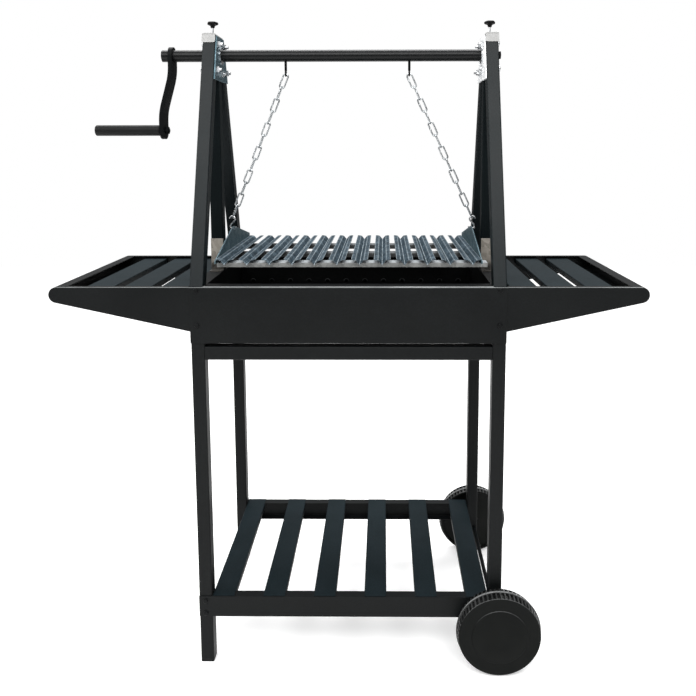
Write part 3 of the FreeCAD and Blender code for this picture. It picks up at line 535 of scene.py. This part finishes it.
# --------------------------------------------------------------------- chains
def chain(name, node, xe, fx):
    """Long-link chain between the shaft's eye and the hook, straight under load."""
    wire, bend, gap, links = 0.0020, 0.0060, 0.00015, 12
    p0 = np.array([xe, 0.0, 1.360])
    e = np.array([fx * 0.2942, 0.0, 1.019])
    d = p0 - e
    length = float(np.linalg.norm(d))
    u = d / length
    lead = wire - gap
    step = 2 * (bend - wire) - gap
    straight = (length - 2 * lead - (links - 1) * step) / links
    verts, faces = [], []
    seg, ringn = 14, 14
    for i in range(links):
        top = p0 - u * (lead + i * (straight + step))
        n = np.array([u[2], 0.0, -u[0]]) if i % 2 == 0 else np.array([0.0, 1.0, 0.0])
        b = np.cross(u, n)
        low = top - u * straight
        path, tang = [], []
        for k in range(seg + 1):
            a = math.pi * k / seg
            path.append(top + bend * (math.cos(a) * n + math.sin(a) * u))
            tang.append(-math.sin(a) * n + math.cos(a) * u)
        for k in range(seg + 1):
            a = math.pi + math.pi * k / seg
            path.append(low + bend * (math.cos(a) * n + math.sin(a) * u))
            tang.append(-math.sin(a) * n + math.cos(a) * u)
        # weld seam: a slight swelling half way down one straight run
        mid = (path[seg] + path[seg + 1]) / 2
        dirn = path[seg + 1] - path[seg]
        dirn = dirn / np.linalg.norm(dirn)
        extra = [(-0.0016, 1.0), (-0.0008, 1.10), (0.0008, 1.10), (0.0016, 1.0)]
        pts = [(p, t, 1.0) for p, t in zip(path[:seg + 1], tang[:seg + 1])]
        pts += [(mid + dirn * o, dirn, k) for o, k in extra]
        pts += [(p, t, 1.0) for p, t in zip(path[seg + 1:], tang[seg + 1:])]
        start = len(verts)
        for p, t, k in pts:
            side = np.cross(b, t)
            for q in range(ringn):
                a = 2 * math.pi * q / ringn
                verts.append(p + wire * k * (math.cos(a) * side + math.sin(a) * b))
        faces += grid_faces(len(pts), ringn, True, True, start)
    o = make(name, verts, faces, zinc_chain, 60)
    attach(o, "frame")
    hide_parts(node)
    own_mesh(o)
    return o


chain("link_chain_left", "chain_left", -0.158, -1)
chain("link_chain_right", "chain_right", 0.140, 1)

# ---------------------------------------------------------------------- stage
fm = Graph("pale_floor")
cloud = fm.noise(0.6, 3.0, 0.5)
floor_col = fm.ramp(cloud, [(0.3, (0.86, 0.86, 0.86)), (0.7, (0.90, 0.90, 0.90))])
floor_mat = fm.finish(floor_col, 0.9, 0.0, None, 0.1)
fm.bsdf.inputs["Emission Color"].default_value = (1, 1, 1, 1)
fm.bsdf.inputs["Emission Strength"].default_value = 0.30
me = bpy.data.meshes.new("floor")
s = 5.0
me.from_pydata([(-s, -s, 0), (s, -s, 0), (s, s, 0), (-s, s, 0)], [], [(0, 1, 2, 3)])
me.materials.append(floor_mat)
floor = bpy.data.objects.new("floor", me)
scene.collection.objects.link(floor)

world = bpy.data.worlds.new("studio")
scene.world = world
world.use_nodes = True
wn = world.node_tree
wn.nodes.clear()
wo = wn.nodes.new("ShaderNodeOutputWorld")
# studio room: a white backdrop behind the object, soft light from above, dim walls
tc = wn.nodes.new("ShaderNodeTexCoord")
sep = wn.nodes.new("ShaderNodeSeparateXYZ")
wn.links.new(tc.outputs["Generated"], sep.inputs[0])
room = wn.nodes.new("ShaderNodeValToRGB")
wn.links.new(sep.outputs["Z"], room.inputs["Fac"])
el = room.color_ramp.elements
el.new(0.5)
for i, (p, v) in enumerate(((0.0, 0.10), (0.30, 0.30), (0.75, 1.1))):
    el[i].position = p
    el[i].color = (v, v, v, 1)
dim = wn.nodes.new("ShaderNodeBackground")
wn.links.new(room.outputs["Color"], dim.inputs["Color"])
dim.inputs["Strength"].default_value = 1.0
bg = wn.nodes.new("ShaderNodeBackground")
bg.inputs["Color"].default_value = (1, 1, 1, 1)
bg.inputs["Strength"].default_value = 1.0
path = wn.nodes.new("ShaderNodeLightPath")
both = wn.nodes.new("ShaderNodeMixShader")
wn.links.new(path.outputs["Is Camera Ray"], both.inputs["Fac"])
wn.links.new(dim.outputs[0], both.inputs[1])
wn.links.new(bg.outputs[0], both.inputs[2])
wn.links.new(both.outputs[0], wo.inputs["Surface"])


def softbox(name, loc, target, size, power, color=(1, 1, 1)):
    li = bpy.data.lights.new(name, "AREA")
    li.shape = "RECTANGLE"
    li.size, li.size_y = size
    li.energy = power
    li.color = color
    o = bpy.data.objects.new(name, li)
    o.location = loc
    o.rotation_euler = (Vector(target) - Vector(loc)).to_track_quat("-Z", "Y").to_euler()
    scene.collection.objects.link(o)
    return o


softbox("top_front", (0.0, -2.6, 3.1), (0, 0, 1.1), (4.0, 1.4), 130)
softbox("overhead", (0.0, 1.1, 3.5), (0, 0, 0.9), (3.4, 1.4), 100)
softbox("side_left", (-3.2, -0.5, 2.3), (0, 0, 1.2), (1.8, 1.8), 55)

# --------------------------------------------------------------------- camera
cam = bpy.data.cameras.new("camera")
cam.sensor_fit = "HORIZONTAL"
cam.sensor_width = 36.0
cam.lens = 689.0 / 696.0 * 36.0
cam.shift_x = (348.0 - 377.27) / 696.0
cam.shift_y = (223.59 - 348.0) / 696.0
cam.dof.use_dof = False
cam.clip_end = 200.0
pitch, yaw, roll = 0.11301, 0.00943, 0.00178
f = Vector((-math.sin(yaw) * math.cos(pitch), math.cos(yaw) * math.cos(pitch), -math.sin(pitch)))
r0 = Vector((math.cos(yaw), math.sin(yaw), 0))
u0 = r0.cross(f)
right = r0 * math.cos(roll) - u0 * math.sin(roll)
upv = r0 * math.sin(roll) + u0 * math.cos(roll)
m = Matrix.Identity(4)
for i in range(3):
    m[i][0], m[i][1], m[i][2] = right[i], upv[i], -f[i]
m.translation = Vector((0.07816, -1.6926, 1.1929))
co = bpy.data.objects.new("camera", cam)
scene.collection.objects.link(co)
co.matrix_world = m
scene.camera = co
scene.view_settings.view_transform = "Standard"
scene.view_settings.look = "None"
